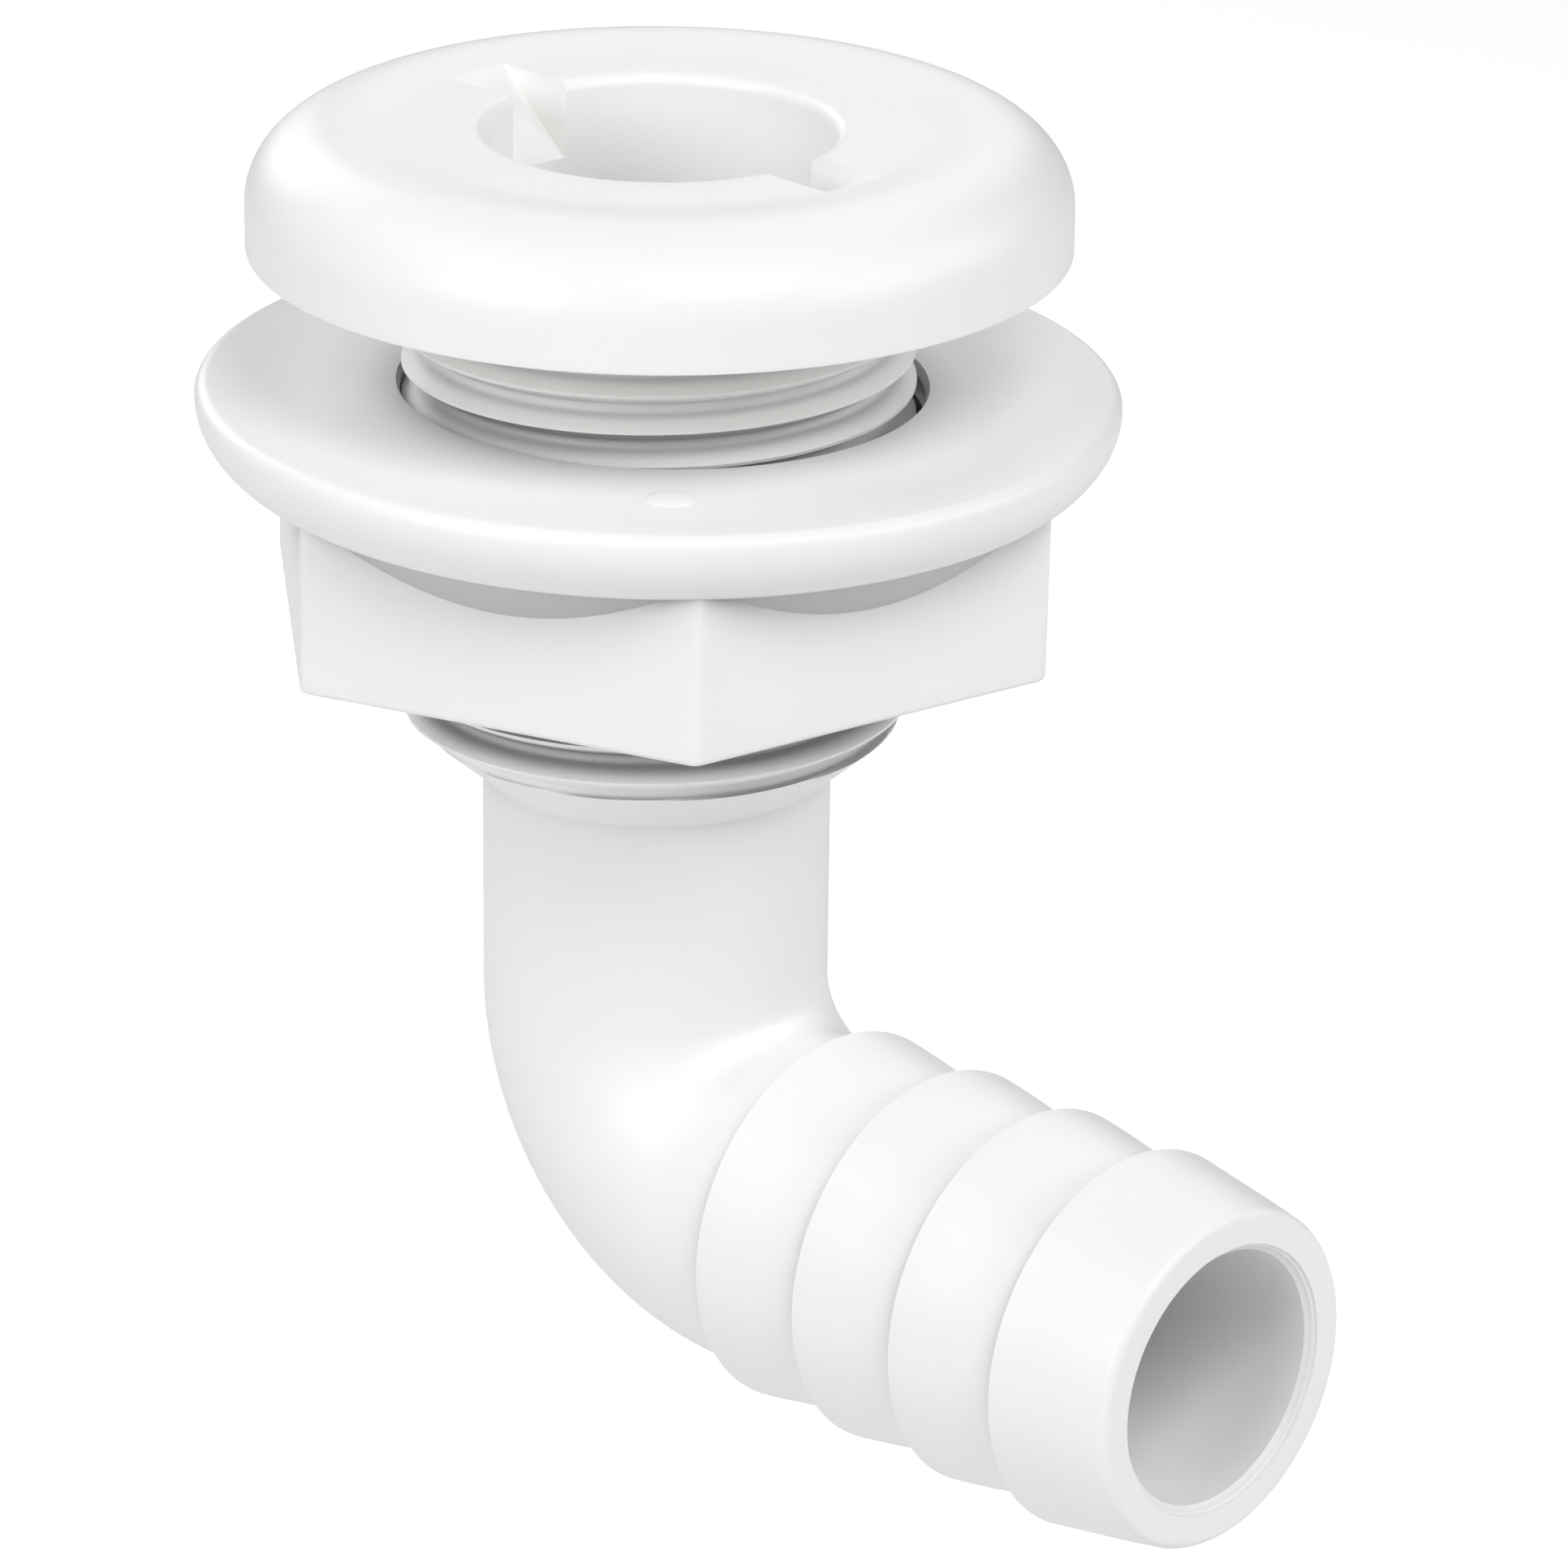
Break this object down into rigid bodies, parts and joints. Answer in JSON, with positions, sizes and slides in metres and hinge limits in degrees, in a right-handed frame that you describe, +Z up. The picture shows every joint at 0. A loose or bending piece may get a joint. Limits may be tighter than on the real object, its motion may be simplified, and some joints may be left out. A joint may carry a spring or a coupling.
{
  "type": "thru hull fitting",
  "caption": "Moulded plastic ninety-degree thru hull fitting: mushroom head, threaded stem with a flanged hex nut, elbow and barbed hose tail.",
  "frame": {"origin": "on the threaded stem's axis, in the plane of the head's flat underside, which seats on the outside of the hull", "axes": "+Z up the stem's axis towards the mushroom head, +X along the hose tail away from the elbow, +Y across"},
  "size_m": [0.0641, 0.0476, 0.0667],
  "materials": {
    "fitting_plastic": "white moulded polymer, smooth with a soft gloss",
    "nut_plastic": "white moulded polymer, smooth with a soft gloss"
  },
  "bodies": {
    "fitting": {"hull_fitting_body": "fitting_plastic"},
    "nut": {"flange_nut": "nut_plastic"}
  },
  "joints": [
    {"name": "nut_travel", "type": "slide", "parent": "fitting", "child": "nut", "axis": [0, 0, 1], "range_m": [-0.0048, 0.0071]}
  ]
}
